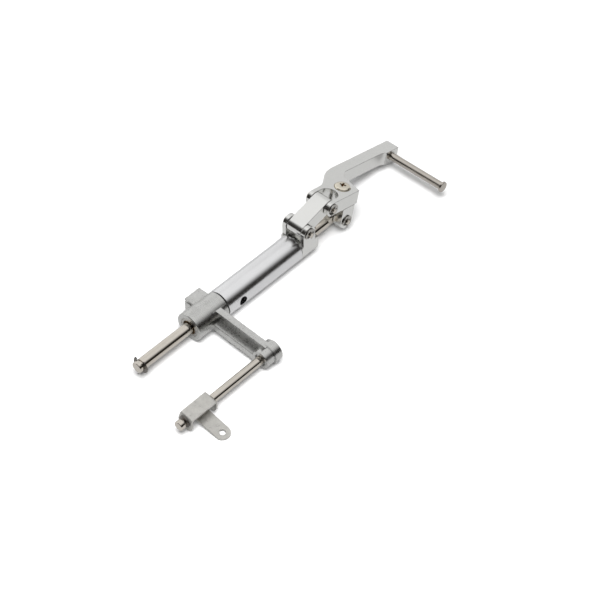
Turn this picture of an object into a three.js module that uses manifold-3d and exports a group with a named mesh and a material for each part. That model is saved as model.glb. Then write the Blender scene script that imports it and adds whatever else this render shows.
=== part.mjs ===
// Gate opener arm. A push rod slides through a tube and, by a short link, tips a cranked arm.
// Millimetres. X runs along the tube towards the arm, Y is across it and Z is up.
// The parts are placed about the tube's axis (y = 0, z = 0); the last lines set the origin.
import * as THREE from "three";
import { mergeVertices } from "three/addons/utils/BufferGeometryUtils.js";
import Module from "manifold-3d";

const wasm = await Module();
wasm.setup();

// Tube and the rod that slides in it.
const TUBE_R = 10;
const TUBE_BORE_R = 8;
const TUBE_START = -24.3;
const TUBE_END = 46;
const SPIGOT_R = 7.75;
const ROD_R = 4;
const ROD_START = -99.3;
const ROD_BORE_R = 4.3;
const CLIP_THICK = 0.8;

// Casting that closes the tube's front end and carries the crank.
const BARREL_R = 10.5;
const BARREL_FRONT = -52.5;
const SHOULDER_X = -25;
const SPIGOT_INNER_END = -3;
const CROSS_HOLE_X = -11.5;
const CROSS_HOLE_R = 3.3;
const BUSH_R = 6.6;
const CRANK_BACK = -30;
const CRANK_FRONT = -40;
const CRANK_STEP = -35;

// Small shaft at the crank's end, and the sheet lever on it.
const SHAFT_Y = -52;
const SHAFT_Z = -2;
const SHAFT_R = 3;
const SHAFT_NECK_R = 2.6;
const SHAFT_START = -113.4;
const SHAFT_CAP_R = 3.4;
const SHAFT_END = -27;
const LEVER_DROOP = THREE.MathUtils.degToRad(9.4);
const LEVER_FRONT = -107.2;
const LEVER_BACK = -84.4;
const SHEET = 1.3;
const EAR_R = 5.9;
const EAR_DROP = 2.3;
const TAB_LENGTH = 20.2;
const TAB_R = 5.3;
const TAB_MIDDLE = -94.4;

// Pivots of the linkage, as [x, z], and the widths that nest at them.
const CLEVIS_PIVOT = [52.8, 15];
const HEAD_PIVOT = [76, 21.2];
const LUG_PIVOT = [90.6, 0];
const PIN_R = 2.5;
const PIN_HOLE_R = 2.75;
const CLEVIS_END = 62;
const CLEVIS_FLOOR = 6.5;
const EAR_TOP_R = 5.7;
const FORK_HALF = 6.6;
const LINK_HALF = 6.2;
const HALF_WIDTH = 10;

// Arm plate, in its own tipped frame: u along the plate, y across it, w square to it.
const ARM_PITCH = THREE.MathUtils.degToRad(13.5);
const PLATE_HALF = 5.3;
const HEAD_LENGTH = 27.1;
const ARM_LENGTH = 94.8;
const ARM_INNER_Y = 11.4;
const ARM_OUTER_Y = 20.6;
const END_BLOCK_Y = 9.6;
const END_BLOCK_U = 81.4;
const END_PIN_U = 87.2;
const END_PIN_W = 0.7;
const END_PIN_R = 2.85;
const END_PIN_TIP = -39;
const SCREW_U = 20.5;
const SCREW_R = 2.95;
const SCREW_HEAD_R = 5.6;
const LUG_HALF = 5.9;
const LUG_ROOF = -10.6;

const FINE = 36;
const ROUND = 24;
const SMALL = 16;

// ---- Shapes -------------------------------------------------------------------------

// A closed three.js geometry as a manifold-3d solid, for cutting and joining.
function solid(geometry) {
  const loose = geometry.index ? geometry.toNonIndexed() : geometry;
  const bare = new THREE.BufferGeometry();
  bare.setAttribute("position", loose.getAttribute("position").clone());
  const merged = mergeVertices(bare, 1e-4);
  const vertProperties = merged.attributes.position.array;
  const triVerts = new Uint32Array(merged.index.array);
  return new wasm.Manifold(new wasm.Mesh({ numProp: 3, vertProperties, triVerts }));
}

// A named mesh of a solid.
function piece(name, body, material) {
  const { vertProperties, triVerts } = body.getMesh();
  const geometry = new THREE.BufferGeometry();
  geometry.setAttribute("position", new THREE.BufferAttribute(vertProperties, 3));
  geometry.setIndex(new THREE.BufferAttribute(triVerts, 1));
  geometry.computeVertexNormals();
  const mesh = new THREE.Mesh(geometry, material);
  mesh.name = name;
  return mesh;
}

// A part turned about the X axis: profile is a closed loop of [x, radius] points, listed
// from the front end back along the outside.
function turned(profile, y = 0, z = 0, segments = FINE) {
  const loop = [...profile, profile[0]].map(([x, r]) => new THREE.Vector2(r, x));
  const geometry = new THREE.LatheGeometry(loop, segments);
  return solid(geometry.rotateZ(-Math.PI / 2).translate(0, y, z));
}

// A plain round bar between two places along X, Y or Z.
function bar(axis, from, to, radius, a, b, segments = ROUND) {
  const geometry = new THREE.CylinderGeometry(radius, radius, to - from, segments);
  const middle = (from + to) / 2;
  if (axis === "x") geometry.rotateZ(-Math.PI / 2).translate(middle, a, b);
  if (axis === "y") geometry.translate(a, middle, b);
  if (axis === "z") geometry.rotateX(Math.PI / 2).translate(a, b, middle);
  return solid(geometry);
}

// A box between two corners.
function block([x0, y0, z0], [x1, y1, z1]) {
  const geometry = new THREE.BoxGeometry(x1 - x0, y1 - y0, z1 - z0);
  return solid(geometry.translate((x0 + x1) / 2, (y0 + y1) / 2, (z0 + z1) / 2));
}

// An outline in the X-Y plane, raised from one height to another.
function raised(shape, from, to, curveSegments = 12) {
  const options = { depth: to - from, bevelEnabled: false, curveSegments };
  return solid(new THREE.ExtrudeGeometry(shape, options).translate(0, 0, from));
}

// A side outline in the X-Z plane, carried across Y.
function sideways(shape, from, to, curveSegments = 12) {
  const options = { depth: to - from, bevelEnabled: false, curveSegments };
  const geometry = new THREE.ExtrudeGeometry(shape, options);
  return solid(geometry.rotateX(Math.PI / 2).translate(0, to, 0));
}

// An outline in the Y-Z plane, carried along X.
function lengthways(shape, from, to, curveSegments = 12) {
  const options = { depth: to - from, bevelEnabled: false, curveSegments };
  const geometry = new THREE.ExtrudeGeometry(shape, options);
  return solid(geometry.rotateX(Math.PI / 2).rotateZ(Math.PI / 2).translate(from, 0, 0));
}

// A closed outline through straight corners.
function outline(points) {
  return new THREE.Shape(points.map(([x, y]) => new THREE.Vector2(x, y)));
}

// An E-clip lying in the X-Y plane: an open ring whose mouth faces -Y.
function clipShape(outerRadius, boreRadius) {
  const mouth = 0.85;
  const shape = new THREE.Shape();
  shape.absarc(0, 0, outerRadius, -Math.PI / 2 + mouth * 0.7, 1.5 * Math.PI - mouth * 0.7, false);
  shape.absarc(0, 0, boreRadius, 1.5 * Math.PI - mouth, -Math.PI / 2 + mouth, true);
  shape.closePath();
  return shape;
}

// ---- Finishes -----------------------------------------------------------------------

function metal(color, roughness, metalness = 1) {
  return new THREE.MeshStandardMaterial({ color, roughness, metalness });
}

const satinAluminium = () => metal(0xc9c9c5, 0.38);
const brightTube = () => metal(0xd8d8da, 0.22);
const castMetal = () => metal(0xa3a39f, 0.55);
const nickelSteel = () => metal(0xc3b8aa, 0.25);
const springSteel = () => metal(0x3a3733, 0.4);
const zincSheet = () => metal(0xbcbab2, 0.4);
const yellowZinc = () => metal(0xd9c48a, 0.35);
const blackOxide = () => metal(0x1d1d1f, 0.5);
const bronze = () => metal(0x9c7a4a, 0.45);
const rubber = () => metal(0x141414, 0.8, 0);

// ---- Tube and casting ---------------------------------------------------------------

function makeTube() {
  const pipe = turned([
    [TUBE_START, TUBE_BORE_R],
    [TUBE_START, TUBE_R],
    [TUBE_END, TUBE_R],
    [TUBE_END, TUBE_BORE_R],
  ]);
  const drill = bar("y", -TUBE_R - 2, TUBE_R + 2, CROSS_HOLE_R, CROSS_HOLE_X, 0, SMALL);
  return piece("tube", pipe.subtract(drill), brightTube());
}

// The barrel and the spigot that enters the tube, bored for the rod and its bush.
function castingBarrel() {
  const rim = 0.4;
  return turned([
    [BARREL_FRONT, BUSH_R + 1],
    [BARREL_FRONT, BARREL_R - rim],
    [BARREL_FRONT + rim, BARREL_R],
    [CRANK_FRONT + 2, BARREL_R],
    [CRANK_FRONT + 4, TUBE_R],
    [SHOULDER_X, TUBE_R],
    [SHOULDER_X, SPIGOT_R],
    [SPIGOT_INNER_END, SPIGOT_R],
    [SPIGOT_INNER_END, ROD_BORE_R + 0.3],
    [BARREL_FRONT + 9.5, ROD_BORE_R + 0.3],
    [BARREL_FRONT + 9.5, BUSH_R + 0.1],
    [BARREL_FRONT + 1.6, BUSH_R + 0.1],
    [BARREL_FRONT + 1.6, BUSH_R + 1],
  ]);
}

// The crank: a web with a wider ledge along its lower front edge.
function castingCrank() {
  const web = outline([[-6, 6.9], [SHAFT_Y, 5.1], [SHAFT_Y, -7.6], [-6, -4.6]]);
  const ledge = outline([[-7, 0.2], [SHAFT_Y + 3, -1.6], [SHAFT_Y + 3, -7.4], [-7, -4.6]]);
  return lengthways(web, CRANK_STEP, CRANK_BACK).add(
    lengthways(ledge, CRANK_FRONT, CRANK_STEP + 1),
  );
}

function castingSmallBoss() {
  const step = CRANK_STEP + 1.6;
  const rimX = SHAFT_END + 0.5;
  return turned([
    [CRANK_FRONT, 0],
    [CRANK_FRONT, 6.6],
    [step, 6.6],
    [step + 0.6, 7.6],
    [rimX - 1, 7.6],
    [rimX, 6.6],
    [rimX, 0],
  ], SHAFT_Y, SHAFT_Z);
}

// The square lug opposite the crank, with a saw cut across its front face.
function castingLug() {
  const lug = block([CRANK_FRONT - 0.6, 2, -6.5], [SHOULDER_X - 1.8, 15.8, 6.5]);
  return lug.subtract(block([CRANK_FRONT - 1, 10.3, 4.2], [CRANK_FRONT + 3, 17, 5.4]));
}

function makeCasting() {
  const rodBore = bar("x", BARREL_FRONT - 1, SPIGOT_INNER_END + 1, ROD_BORE_R + 0.3, 0, 0);
  const shaftBore = bar("x", CRANK_FRONT - 1, SHAFT_END + 2, SHAFT_R + 0.1, SHAFT_Y, SHAFT_Z);
  const shaftMouth = bar("x", CRANK_FRONT - 1, CRANK_FRONT + 0.9, 4.7, SHAFT_Y, SHAFT_Z);
  const tapped = bar("y", -TUBE_R, TUBE_R, CROSS_HOLE_R - 0.2, CROSS_HOLE_X, 0, SMALL);
  const body = castingBarrel().add(castingCrank()).add(castingSmallBoss()).add(castingLug());
  const cut = body.subtract(rodBore).subtract(shaftBore).subtract(shaftMouth).subtract(tapped);
  return piece("crank_casting", cut, castMetal());
}

function ring(name, from, to, inner, outer, material) {
  const loop = [[from, inner], [from, outer], [to, outer], [to, inner]];
  return piece(name, turned(loop, 0, 0, ROUND), material);
}

function makeBarrelFittings() {
  const bushFront = BARREL_FRONT + 1.7;
  return [
    ring("seal_ring", SHOULDER_X + 0.05, TUBE_START - 0.05, SPIGOT_R + 0.2, TUBE_R - 0.2, rubber()),
    ring("front_bush", bushFront, BARREL_FRONT + 9.4, ROD_BORE_R, BUSH_R, bronze()),
    ring("bush_retainer", BARREL_FRONT + 0.5, bushFront - 0.2, 5.3, BUSH_R + 0.85, springSteel()),
  ];
}

// Two short grub screws lock the casting's spigot through the tube's cross hole.
function makeGrubScrew(name, side) {
  const near = 5;
  const far = SPIGOT_R - 0.2;
  const [from, to] = side < 0 ? [-far, -near] : [near, far];
  const screw = bar("y", from, to, CROSS_HOLE_R - 0.35, CROSS_HOLE_X, 0, SMALL);
  const [open, deep] = side < 0 ? [-far - 1, -far + 1.6] : [far - 1.6, far + 1];
  const socket = bar("y", open, deep, 1.7, CROSS_HOLE_X, 0, 6);
  return piece(name, screw.subtract(socket), blackOxide());
}

// ---- Clevis end ---------------------------------------------------------------------

function clevisEars() {
  const [x, z] = CLEVIS_PIVOT;
  const shape = new THREE.Shape();
  shape.moveTo(x - EAR_TOP_R, 0);
  shape.lineTo(x + EAR_TOP_R, 0);
  shape.absarc(x, z, EAR_TOP_R, 0, Math.PI, false);
  shape.closePath();
  const whole = sideways(shape, -HALF_WIDTH, HALF_WIDTH);
  const reach = EAR_TOP_R + 2;
  return whole.subtract(
    block([x - reach, -FORK_HALF, CLEVIS_FLOOR], [x + reach, FORK_HALF, z + reach]),
  );
}

function makeClevis() {
  const start = TUBE_END + 0.1;
  const inner = TUBE_END - 16;
  const core = turned([
    [inner, 0],
    [inner, SPIGOT_R],
    [start, SPIGOT_R],
    [start, TUBE_R],
    [CLEVIS_END, TUBE_R],
    [CLEVIS_END, 0],
  ]);
  const deck = block([start, -HALF_WIDTH, 0], [CLEVIS_END, HALF_WIDTH, CLEVIS_FLOOR]);
  const crown = block([start, -HALF_WIDTH - 1, CLEVIS_FLOOR], [CLEVIS_END + 1, HALF_WIDTH + 1, 12]);
  const bushSeat = bar("x", inner - 1, inner + 12, BUSH_R - 0.5, 0, 0);
  const rodBore = bar("x", inner - 1, CLEVIS_END + 1, ROD_BORE_R, 0, 0);
  const [px, pz] = CLEVIS_PIVOT;
  const pinHole = bar("y", -12, 12, PIN_R + 0.1, px, pz, SMALL);
  const body = core.subtract(crown).add(deck).add(clevisEars());
  const cut = body.subtract(bushSeat).subtract(rodBore).subtract(pinHole);
  return [
    piece("clevis_end", cut, satinAluminium()),
    ring("clevis_bush", inner + 0.2, inner + 11.8, ROD_BORE_R, BUSH_R - 0.6, bronze()),
  ];
}

// ---- Rod, pins and clips ------------------------------------------------------------

function makePushRod() {
  const groove = ROD_START + 3.2;
  const tongueStart = LUG_PIVOT[0] - 10.6;
  const [ex, ez] = LUG_PIVOT;
  const eyeR = 4.9;
  const shank = turned([
    [ROD_START, 0],
    [ROD_START, ROD_R - 0.5],
    [ROD_START + 0.5, ROD_R],
    [groove, ROD_R],
    [groove, ROD_R - 0.9],
    [groove + 1, ROD_R - 0.9],
    [groove + 1, ROD_R],
    [tongueStart, ROD_R],
    [tongueStart, 0],
  ], 0, 0, ROUND);
  const tongue = block([tongueStart - 1, -2.5, -3], [ex, 2.5, 3]);
  const eye = bar("y", -2.5, 2.5, eyeR, ex, ez);
  const hole = bar("y", -4, 4, PIN_R + 0.6, ex, ez);
  return piece("push_rod", shank.add(tongue).add(eye).subtract(hole), nickelSteel());
}

function makeRodClip() {
  const clip = raised(clipShape(6.3, ROD_R - 0.75), 0, CLIP_THICK, 16);
  const mesh = piece("rod_clip", clip, springSteel());
  mesh.rotation.set(Math.PI / 2, Math.PI / 2, 0);
  mesh.position.x = ROD_START + 3.3;
  return mesh;
}

// A headed cross pin along Y about its own origin, its clip groove just past y = -10.
function makePin(name, x, z) {
  const grooveR = PIN_R - 0.55;
  const seat = HALF_WIDTH + 0.1;
  const tip = HALF_WIDTH + 2.3;
  const body = turned([
    [-seat - 1.2, 0],
    [-seat - 1.2, PIN_R + 0.9],
    [-seat - 0.9, PIN_R + 1.2],
    [-seat, PIN_R + 1.2],
    [-seat, PIN_R],
    [seat, PIN_R],
    [seat, grooveR],
    [seat + 1, grooveR],
    [seat + 1, PIN_R],
    [tip - 0.4, PIN_R],
    [tip, PIN_R - 0.4],
    [tip, 0],
  ], 0, 0, SMALL);
  const mesh = piece(name, body, nickelSteel());
  mesh.rotation.z = -Math.PI / 2;
  mesh.position.set(x, 0, z);
  return mesh;
}

function makePinClip(name, x, z, turn) {
  const clip = raised(clipShape(4.5, PIN_R - 0.4), 0, CLIP_THICK);
  const mesh = piece(name, clip, springSteel());
  mesh.rotation.set(Math.PI / 2, 0, turn);
  mesh.position.set(x, -HALF_WIDTH - 0.2, z);
  return mesh;
}

// ---- Link ---------------------------------------------------------------------------

const LINK_RISE = Math.atan2(HEAD_PIVOT[1] - CLEVIS_PIVOT[1], HEAD_PIVOT[0] - CLEVIS_PIVOT[0]);
const LINK_LENGTH = Math.hypot(HEAD_PIVOT[0] - CLEVIS_PIVOT[0], HEAD_PIVOT[1] - CLEVIS_PIVOT[1]);

function makeLink() {
  const shape = new THREE.Shape();
  shape.absarc(0, 0, PLATE_HALF, Math.PI / 2, 1.5 * Math.PI, false);
  shape.absarc(LINK_LENGTH, 0, PLATE_HALF, -Math.PI / 2, Math.PI / 2, false);
  shape.closePath();
  const stadium = sideways(shape, -LINK_HALF, LINK_HALF);
  const nearHole = bar("y", -8, 8, PIN_HOLE_R, 0, 0, SMALL);
  const farHole = bar("y", -8, 8, PIN_HOLE_R, LINK_LENGTH, 0, SMALL);
  const mesh = piece("link_bar", stadium.subtract(nearHole).subtract(farHole), satinAluminium());
  mesh.rotation.y = -LINK_RISE;
  mesh.position.set(CLEVIS_PIVOT[0], 0, CLEVIS_PIVOT[1]);
  return mesh;
}

// ---- Arm plate and the lug under it, about the head pivot -----------------------------

const COS = Math.cos(ARM_PITCH);
const SIN = Math.sin(ARM_PITCH);
const DX = LUG_PIVOT[0] - HEAD_PIVOT[0];
const DZ = LUG_PIVOT[1] - HEAD_PIVOT[1];
const LUG_U = DX * COS - DZ * SIN;
const LUG_W = DX * SIN + DZ * COS;

function armPlan() {
  const shape = new THREE.Shape();
  shape.moveTo(-PLATE_HALF, -HALF_WIDTH);
  shape.lineTo(HEAD_LENGTH, -HALF_WIDTH);
  shape.lineTo(HEAD_LENGTH + 3.5, 4.6);
  shape.quadraticCurveTo(HEAD_LENGTH + 5.4, ARM_INNER_Y, HEAD_LENGTH + 12, ARM_INNER_Y);
  shape.lineTo(END_BLOCK_U - 6, ARM_INNER_Y);
  shape.quadraticCurveTo(END_BLOCK_U - 1, ARM_INNER_Y, END_BLOCK_U, END_BLOCK_Y);
  shape.lineTo(ARM_LENGTH, END_BLOCK_Y);
  shape.lineTo(ARM_LENGTH, ARM_OUTER_Y);
  shape.lineTo(34, ARM_OUTER_Y);
  shape.bezierCurveTo(27, ARM_OUTER_Y, 21.5, 18.4, 17.5, 14.6);
  shape.quadraticCurveTo(12.6, HALF_WIDTH, 6, HALF_WIDTH);
  shape.lineTo(-PLATE_HALF, HALF_WIDTH);
  shape.closePath();
  return shape;
}

function armProfile() {
  const shape = new THREE.Shape();
  shape.absarc(0, 0, PLATE_HALF, Math.PI / 2, 1.5 * Math.PI, false);
  shape.lineTo(ARM_LENGTH + 1, -PLATE_HALF);
  shape.lineTo(ARM_LENGTH + 1, PLATE_HALF);
  shape.closePath();
  return shape;
}

function makeArmPlate() {
  const plan = raised(armPlan(), -PLATE_HALF - 1, PLATE_HALF + 1);
  const plate = plan.intersect(sideways(armProfile(), -30, 30, 24));
  const slotCentre = 6;
  const slotBox = block([-9, -FORK_HALF, -9], [slotCentre, FORK_HALF, 9]);
  const slot = slotBox.add(bar("z", -9, 9, FORK_HALF, slotCentre, 0));
  const pinHole = bar("y", -12, 12, PIN_R + 0.1, 0, 0, SMALL);
  const screwHole = bar("z", -9, 9, SCREW_R + 0.35, SCREW_U, 0, SMALL);
  const sink = new THREE.CylinderGeometry(SCREW_HEAD_R + 0.45, SCREW_R + 0.3, 2.8, ROUND);
  const sinkBody = solid(sink.rotateX(Math.PI / 2).translate(SCREW_U, 0, PLATE_HALF - 1.3));
  const endHole = bar("y", END_BLOCK_Y - 1, 17, END_PIN_R + 0.1, END_PIN_U, END_PIN_W, SMALL);
  const heel = outline([
    [HEAD_LENGTH + 0.3, 1],
    [HEAD_LENGTH - 1.6, -PLATE_HALF - 1],
    [HEAD_LENGTH + 2, -PLATE_HALF - 1],
    [HEAD_LENGTH + 2, 1],
  ]);
  const relief = sideways(heel, -HALF_WIDTH - 1, -HALF_WIDTH + 7);
  const cut = plate.subtract(slot).subtract(pinHole).subtract(screwHole).subtract(relief);
  return piece("arm_plate", cut.subtract(sinkBody).subtract(endHole), satinAluminium());
}

function makeLug() {
  const shape = new THREE.Shape();
  shape.moveTo(LUG_U - LUG_HALF, -PLATE_HALF - 0.1);
  shape.lineTo(LUG_U - LUG_HALF, LUG_W);
  shape.absarc(LUG_U, LUG_W, LUG_HALF, -Math.PI, 0, false);
  shape.lineTo(LUG_U + LUG_HALF, -PLATE_HALF - 0.1);
  shape.closePath();
  const body = sideways(shape, -HALF_WIDTH, HALF_WIDTH);
  const slot = block([LUG_U - 9, -2.9, LUG_W - 9], [LUG_U + 9, 2.9, LUG_ROOF]);
  const pinHole = bar("y", -12, 12, PIN_R + 0.1, LUG_U, LUG_W, SMALL);
  const tapped = bar("z", LUG_ROOF - 1, 0, SCREW_R + 0.15, SCREW_U, 0, SMALL);
  const cut = body.subtract(slot).subtract(pinHole).subtract(tapped);
  return piece("lug_block", cut, satinAluminium());
}

// A raised countersunk screw with a cross recess, along w.
function makeLugScrew() {
  const top = PLATE_HALF + 1.1;
  const loop = [
    [LUG_ROOF + 0.2, 0],
    [LUG_ROOF + 0.2, SCREW_R],
    [PLATE_HALF - 2.6, SCREW_R],
    [PLATE_HALF - 0.1, SCREW_HEAD_R],
    [PLATE_HALF + 0.15, SCREW_HEAD_R],
    [PLATE_HALF + 0.75, 3.6],
    [top, 1.5],
    [top, 0],
  ].map(([w, r]) => new THREE.Vector2(r, w));
  const lathe = new THREE.LatheGeometry([...loop, loop[0]], ROUND).rotateX(Math.PI / 2);
  const arm = 2.9;
  const half = 0.65;
  const recess = block([-arm, -half, top - 2.6], [arm, half, top + 1]).add(
    block([-half, -arm, top - 2.6], [half, arm, top + 1]),
  );
  const mesh = piece("lug_screw", solid(lathe).subtract(recess), yellowZinc());
  mesh.rotation.z = 0.35;
  mesh.position.x = SCREW_U;
  return mesh;
}

function makeEndPin() {
  const body = turned([
    [-16.5, 0],
    [-16.5, END_PIN_R],
    [-END_PIN_TIP - 1.6, END_PIN_R],
    [-END_PIN_TIP - 1.6, 4],
    [-END_PIN_TIP - 0.3, 4],
    [-END_PIN_TIP, 3.7],
    [-END_PIN_TIP, 0],
  ], 0, 0, SMALL);
  const mesh = piece("end_pin", body, nickelSteel());
  mesh.rotation.z = -Math.PI / 2;
  mesh.position.set(END_PIN_U, 0, END_PIN_W);
  return mesh;
}

function makeHead() {
  const head = new THREE.Group();
  head.add(makeArmPlate(), makeLug(), makeLugScrew(), makeEndPin());
  head.add(makePin("head_pin", 0, 0), makePinClip("head_pin_clip", 0, 0, 0.9));
  head.add(makePin("lug_pin", LUG_U, LUG_W), makePinClip("lug_pin_clip", LUG_U, LUG_W, 0.6));
  head.rotation.y = ARM_PITCH;
  head.position.set(HEAD_PIVOT[0], 0, HEAD_PIVOT[1]);
  return head;
}

// ---- Small shaft and the lever on it --------------------------------------------------

function makeCrankShaft() {
  const groove = LEVER_FRONT - 1.2;
  const shoulder = LEVER_BACK + 0.3;
  const root = CRANK_FRONT - 1.6;
  const body = turned([
    [SHAFT_START, 0],
    [SHAFT_START, SHAFT_CAP_R - 0.6],
    [SHAFT_START + 0.6, SHAFT_CAP_R],
    [groove - 1.6, SHAFT_CAP_R],
    [groove - 1.2, SHAFT_NECK_R],
    [groove, SHAFT_NECK_R],
    [groove, 1.9],
    [groove + 1, 1.9],
    [groove + 1, SHAFT_NECK_R],
    [shoulder, SHAFT_NECK_R],
    [shoulder, SHAFT_R],
    [root, SHAFT_R],
    [root, SHAFT_R - 0.35],
    [root + 0.8, SHAFT_R - 0.35],
    [root + 0.8, SHAFT_R],
    [SHAFT_END, SHAFT_R],
    [SHAFT_END, 0],
  ], SHAFT_Y, SHAFT_Z, ROUND);
  return piece("crank_shaft", body, nickelSteel());
}

function makeShaftClip() {
  const clip = raised(clipShape(5.5, 2.05), 0, CLIP_THICK);
  const mesh = piece("shaft_clip", clip, springSteel());
  mesh.rotation.set(Math.PI / 2, Math.PI / 2, 0);
  mesh.position.set(LEVER_FRONT - 1.1, SHAFT_Y, SHAFT_Z);
  return mesh;
}

// One folded sheet about the shaft: a top plate with an ear turned down at each end, a
// back wall on the +Y side, and a tab that returns under the shaft and out to -Y.
function makeLever() {
  const half = 5.05;
  const top = 4.45;
  const ear = new THREE.Shape();
  ear.moveTo(-half, top);
  ear.lineTo(-EAR_R, -EAR_DROP);
  ear.absarc(0, -EAR_DROP, EAR_R, Math.PI, 2 * Math.PI, false);
  ear.lineTo(half, top);
  ear.closePath();
  const frontEar = lengthways(ear, LEVER_FRONT, LEVER_FRONT + SHEET);
  const backEar = lengthways(ear, LEVER_BACK - SHEET, LEVER_BACK);
  const plate = block([LEVER_FRONT + 0.2, -half, top - SHEET], [LEVER_BACK - 0.2, half, top]);
  const tabLeft = TAB_MIDDLE - TAB_R;
  const tabRight = TAB_MIDDLE + TAB_R;
  const low = -3.1 - SHEET;
  const wall = block([tabLeft, half - SHEET, low], [tabRight, half, top - 0.2]);
  const tab = new THREE.Shape();
  tab.moveTo(tabLeft, half);
  tab.lineTo(tabLeft, -TAB_LENGTH);
  tab.absarc(TAB_MIDDLE, -TAB_LENGTH, TAB_R, Math.PI, 2 * Math.PI, false);
  tab.lineTo(tabRight, half);
  tab.closePath();
  const strap = raised(tab, low, low + SHEET);
  const hole = bar("z", low - 2, low + 4, 2.1, TAB_MIDDLE, -TAB_LENGTH, SMALL);
  const shaftHole = bar("x", LEVER_FRONT - 1, LEVER_BACK + 1, SHAFT_NECK_R + 0.3, 0, 0);
  const folded = frontEar.add(backEar).add(plate).add(wall).add(strap);
  const mesh = piece("tab_lever", folded.subtract(hole).subtract(shaftHole), zincSheet());
  mesh.rotation.x = LEVER_DROOP;
  mesh.position.set(0, SHAFT_Y, SHAFT_Z);
  return mesh;
}

// ---- Assembly -------------------------------------------------------------------------

const arm = new THREE.Group();
arm.add(makeTube(), makeCasting(), ...makeBarrelFittings(), ...makeClevis());
arm.add(makeGrubScrew("grub_screw_front", -1), makeGrubScrew("grub_screw_back", 1));
arm.add(makePin("clevis_pin", ...CLEVIS_PIVOT), makePinClip("clevis_pin_clip", ...CLEVIS_PIVOT, 0.5));
arm.add(makePushRod(), makeRodClip(), makeLink(), makeHead());
arm.add(makeCrankShaft(), makeShaftClip(), makeLever());

// The origin is under the middle of the whole arm, on the surface it lies on.
arm.updateMatrixWorld(true);
const bounds = new THREE.Box3().setFromObject(arm, true);
const middle = bounds.getCenter(new THREE.Vector3());
arm.position.set(-middle.x, -middle.y, -bounds.min.z);

const gateOpenerArm = new THREE.Group();
gateOpenerArm.add(arm);

export default gateOpenerArm;
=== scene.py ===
import math
import bmesh
import bpy
import numpy as np
from mathutils import Matrix, Vector


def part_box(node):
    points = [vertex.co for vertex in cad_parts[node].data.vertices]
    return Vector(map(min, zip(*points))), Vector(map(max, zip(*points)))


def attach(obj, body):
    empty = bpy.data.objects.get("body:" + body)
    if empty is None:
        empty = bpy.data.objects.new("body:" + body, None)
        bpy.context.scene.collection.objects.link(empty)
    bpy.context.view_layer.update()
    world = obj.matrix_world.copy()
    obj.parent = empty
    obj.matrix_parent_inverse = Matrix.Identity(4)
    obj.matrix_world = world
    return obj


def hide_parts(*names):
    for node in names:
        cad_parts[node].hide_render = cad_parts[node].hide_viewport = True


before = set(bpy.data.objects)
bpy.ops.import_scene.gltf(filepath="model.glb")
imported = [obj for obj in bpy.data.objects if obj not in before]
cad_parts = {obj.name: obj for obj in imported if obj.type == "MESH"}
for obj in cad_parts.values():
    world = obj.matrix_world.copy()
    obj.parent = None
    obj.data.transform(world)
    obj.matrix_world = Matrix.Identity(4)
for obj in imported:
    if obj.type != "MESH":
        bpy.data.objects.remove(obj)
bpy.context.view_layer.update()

# ---- Camera ---------------------------------------------------------------------------
# Lengths below are millimetres from the tube's axis: X along the tube towards the arm,
# Y across it, Z up. "hub" is that zero point in the row frame, in metres.

TUBE_START = -24.3
TUBE_END = 46.0
LOOK_TURN = math.radians(47.35)
LOOK_DOWN = math.radians(47.5)
CAMERA_PLACE = Vector((-510.90, -520.47, 779.31))

tube_low, tube_high = (Vector(corner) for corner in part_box("tube"))
hub = Vector((
    tube_low.x - TUBE_START / 1000,
    (tube_low.y + tube_high.y) / 2,
    (tube_low.z + tube_high.z) / 2,
))
forward = Vector((
    math.sin(LOOK_TURN) * math.cos(LOOK_DOWN),
    math.cos(LOOK_TURN) * math.cos(LOOK_DOWN),
    -math.sin(LOOK_DOWN),
))
camera_data = bpy.data.cameras.new("camera")
camera_data.lens = 96
camera_data.sensor_width = 36
camera_data.clip_start = 0.05
camera_data.clip_end = 20
camera = bpy.data.objects.new("camera", camera_data)
camera.location = hub + CAMERA_PLACE / 1000
camera.rotation_euler = forward.to_track_quat("-Z", "Y").to_euler()
bpy.context.collection.objects.link(camera)
bpy.context.scene.camera = camera
bpy.context.scene.view_settings.view_transform = "Standard"

# ---- Floor ----------------------------------------------------------------------------
# A white sheet that runs far past the part and glows further out, so that it has no edge.
# The metal mirrors a calmer floor, whose front half falls off into the dark.

FLOOR_HALF = 6.0
BACKDROP_TURN = math.radians(65)
TO_BACKDROP = (math.cos(BACKDROP_TURN), math.sin(BACKDROP_TURN), 0)
FLOOR_GREY = (0.92, 0.92, 0.92, 1)
FLOOR_GLOW_COLOUR = (1, 1, 1, 1)
GLOW_STARTS = 0.2
GLOW_FULL = 1.1
DARK_BEFORE = -0.40
LIT_BEYOND = -0.15
GLOW_IN_METAL = 0.23
LIT_IN_METAL = 0.30


def add_node(tree, kind, values=(), **settings):
    """A new node of that kind, with its settings and its unlinked input values."""
    made = tree.nodes.new(kind)
    for name, value in settings.items():
        setattr(made, name, value)
    for socket, value in dict(values).items():
        made.inputs[socket].default_value = value
    return made


def ramp(tree, source, low, high, to_low=0.0, to_high=1.0, smooth=False):
    """to_low where source is at low, to_high where it is at high, and between them between."""
    kind = "SMOOTHSTEP" if smooth else "LINEAR"
    made = add_node(tree, "ShaderNodeMapRange", interpolation_type=kind)
    for index, value in enumerate((low, high, to_low, to_high), start=1):
        made.inputs[index].default_value = value
    tree.links.new(source, made.inputs[0])
    return made.outputs[0]


def combine(tree, operation, first, second):
    """The two values through one Math operation; second may be a plain number."""
    made = add_node(tree, "ShaderNodeMath", operation=operation)
    tree.links.new(first, made.inputs[0])
    if isinstance(second, (int, float)):
        made.inputs[1].default_value = second
    else:
        tree.links.new(second, made.inputs[1])
    return made.outputs[0]


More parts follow.
